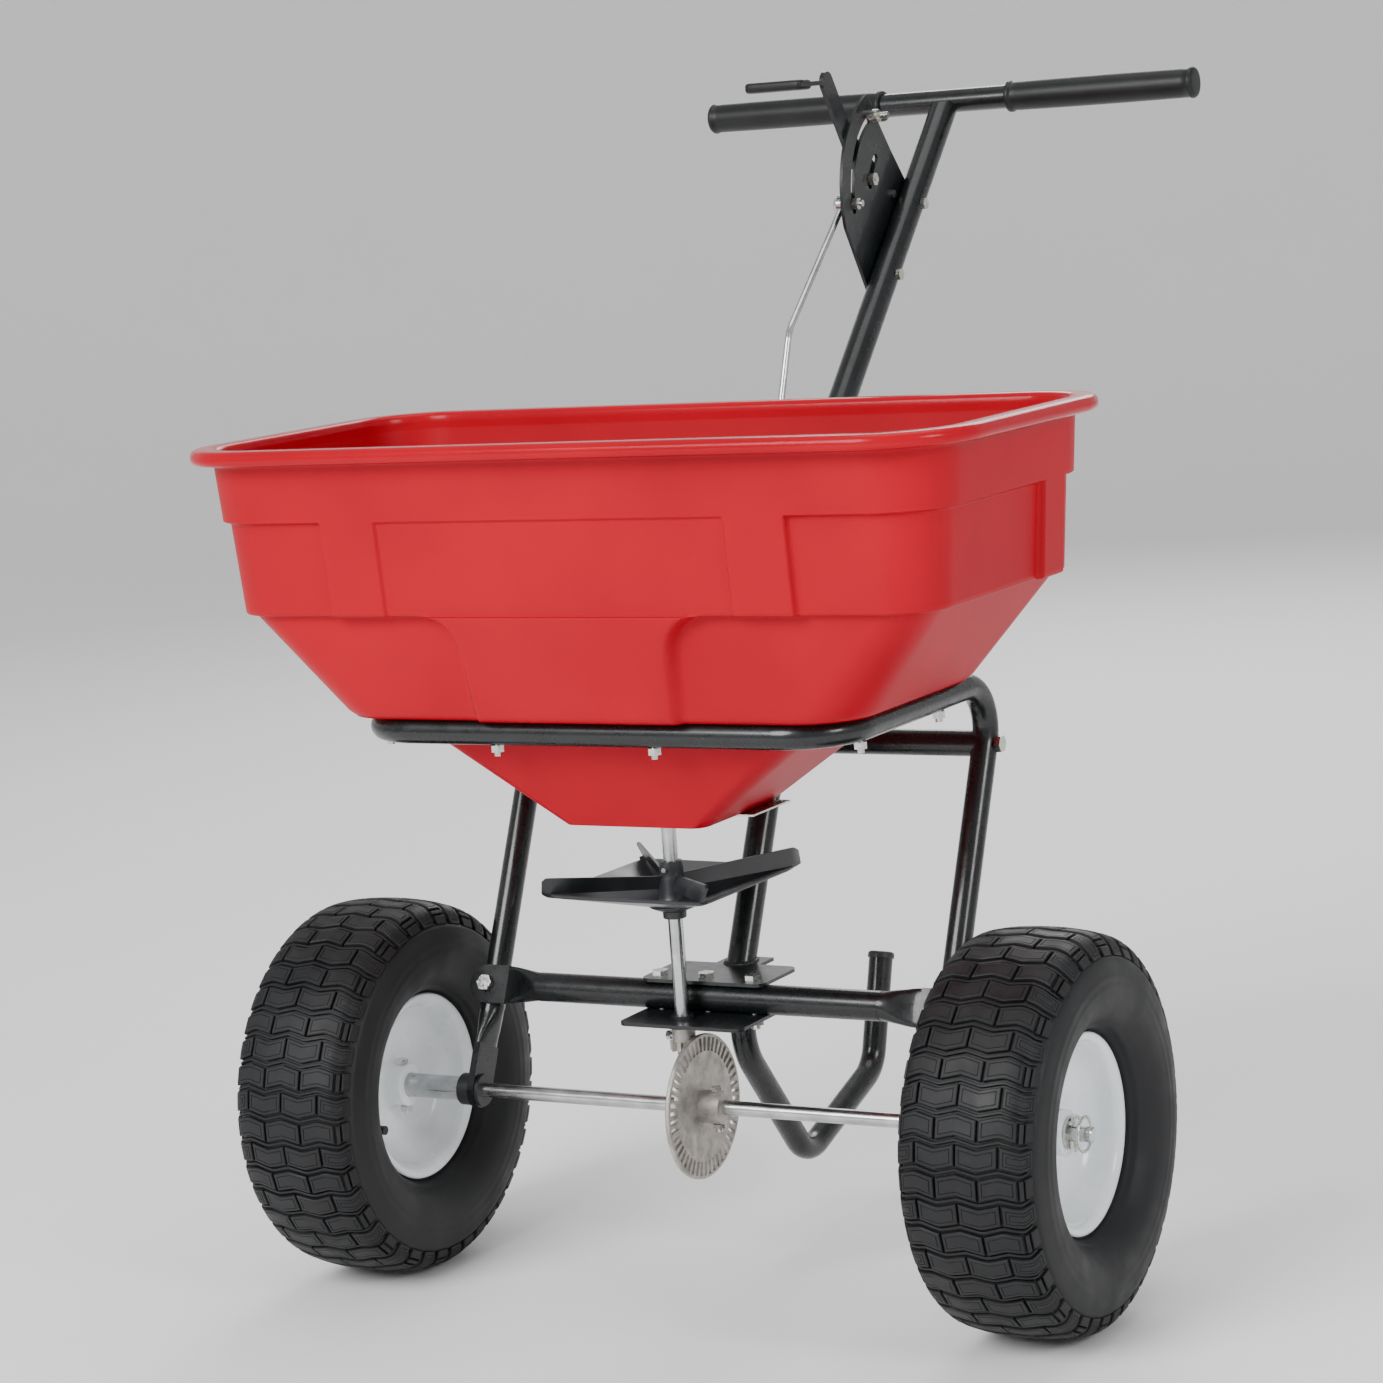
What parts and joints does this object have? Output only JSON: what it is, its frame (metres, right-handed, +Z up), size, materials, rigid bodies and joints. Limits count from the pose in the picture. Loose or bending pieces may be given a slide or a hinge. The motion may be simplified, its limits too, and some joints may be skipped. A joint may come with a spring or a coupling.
{
  "type": "garden spreader",
  "caption": "Walk-behind broadcast spreader: moulded hopper on a bent tube frame, two pneumatic tyres, slotted drive disc, spinning impeller, sliding gate and hand lever.",
  "frame": {"origin": "on the ground under the middle of the whole object, in its working pose with the hopper level", "axes": "+X to the operator's right along the axle, +Y back towards the operator, +Z up"},
  "size_m": [0.7596, 0.8214, 1.025],
  "materials": {
    "hopper_red": "satin moulded polypropylene with a fine grain",
    "frame_black": "gloss black powder coat",
    "zinc": "bright zinc plate",
    "plate_steel": "zinc-plated sheet",
    "bright_steel": "bright drawn bar",
    "grip_vinyl": "matt vinyl",
    "black_plastic": "moulded nylon",
    "cast_gear": "as-cast alloy",
    "rim_white": "gloss white enamel",
    "white_plastic": "moulded nylon",
    "tyre_rubber": "matt black tyre rubber",
    "valve_rubber": "matt rubber",
    "sticker_yellow": "printed film without lettering"
  },
  "bodies": {
    "chassis": {"hopper": "hopper_red", "hopper_bolts": "zinc", "hopper_nuts": "zinc", "outlet_plate": "plate_steel", "outlet_screws": "zinc", "gate_guides": "plate_steel", "cradle_frame": "frame_black", "rear_cross_tube": "frame_black", "rear_cross_bolts": "zinc", "lower_crossbar": "frame_black", "crossbar_bolts": "zinc", "upper_clamp_plate": "frame_black", "lower_clamp_plate": "frame_black", "clamp_bolts": "zinc", "clamp_nuts": "zinc", "mast_tube": "frame_black", "mast_bracket": "frame_black", "mast_bracket_bolts": "zinc", "handlebar_tube": "frame_black", "grip_left": "grip_vinyl", "grip_right": "grip_vinyl", "stand_tube": "frame_black", "stand_end_cap": "grip_vinyl", "axle_bushing_left": "black_plastic", "axle_bushing_right": "black_plastic", "shaft_bearing_lower": "black_plastic", "shaft_bearing_upper": "black_plastic", "rate_plate": "frame_black", "rate_plate_bolts": "zinc", "pivot_bolt": "zinc"},
    "axle_set": {"axle": "bright_steel", "drive_gear": "cast_gear", "gear_drive_bolt": "zinc", "spacer_sleeve": "zinc", "right_spacer": "zinc", "wheel_drive_bolt": "zinc", "axle_washers": "zinc", "linch_pin": "zinc", "left_rim": "rim_white", "left_tyre": "tyre_rubber", "left_hub_bushes": "white_plastic", "left_valve": "valve_rubber", "left_rim_sticker": "sticker_yellow"},
    "right_wheel": {"right_rim": "rim_white", "right_tyre": "tyre_rubber", "right_hub_bushes": "white_plastic", "right_valve": "valve_rubber"},
    "spinner": {"spinner_shaft": "bright_steel", "impeller": "black_plastic", "shaft_pins": "zinc", "pinion": "cast_gear", "pinion_set_screw": "zinc"},
    "lever": {"lever_arm": "frame_black", "lever_pad": "grip_vinyl", "lever_guide_bolt": "zinc", "rod_pivot_bolt": "zinc"},
    "rod": {"control_rod": "bright_steel"},
    "gate": {"shutoff_gate": "plate_steel"},
    "rate_stop": {"rate_stop_bolt": "zinc", "rate_stop_wing_nut": "zinc"}
  },
  "joints": [
    {"name": "axle_spin", "type": "hinge", "parent": "chassis", "child": "axle_set", "pos_m": [0, -0.21169, 0.165], "axis": [1, 0, 0], "continuous": true},
    {"name": "right_wheel_spin", "type": "hinge", "parent": "chassis", "child": "right_wheel", "pos_m": [0.317, -0.21169, 0.165], "axis": [1, 0, 0], "continuous": true},
    {"name": "spinner_spin", "type": "hinge", "parent": "chassis", "child": "spinner", "pos_m": [-0.01, -0.21169, 0.339], "axis": [0, 0, 1], "continuous": true},
    {"name": "lever_pull", "type": "hinge", "parent": "chassis", "child": "lever", "pos_m": [-0.0202, 0.2923, 0.909], "axis": [-1, 0, 0], "range_deg": [0, 16]},
    {"name": "rod_swing", "type": "hinge", "parent": "lever", "child": "rod", "pos_m": [-0.0237, 0.21247, 0.90384], "axis": [1, 0, 0], "range_deg": [0, 21.27]},
    {"name": "gate_slide", "type": "slide", "parent": "chassis", "child": "gate", "axis": [0, 1, 0], "range_m": [0, 0.0442]},
    {"name": "rate_stop_set", "type": "hinge", "parent": "chassis", "child": "rate_stop", "pos_m": [-0.0127, 0.2923, 0.909], "axis": [-1, 0, 0], "range_deg": [-2.5, 3.5]}
  ],
  "couplings": [
    {"joint": "spinner_spin", "follows": "axle_spin", "ratio": -5.3333},
    {"joint": "rod_swing", "follows": "lever_pull", "ratio": 1.3167},
    {"joint": "gate_slide", "follows": "lever_pull", "m_per_rad": 0.1564}
  ]
}
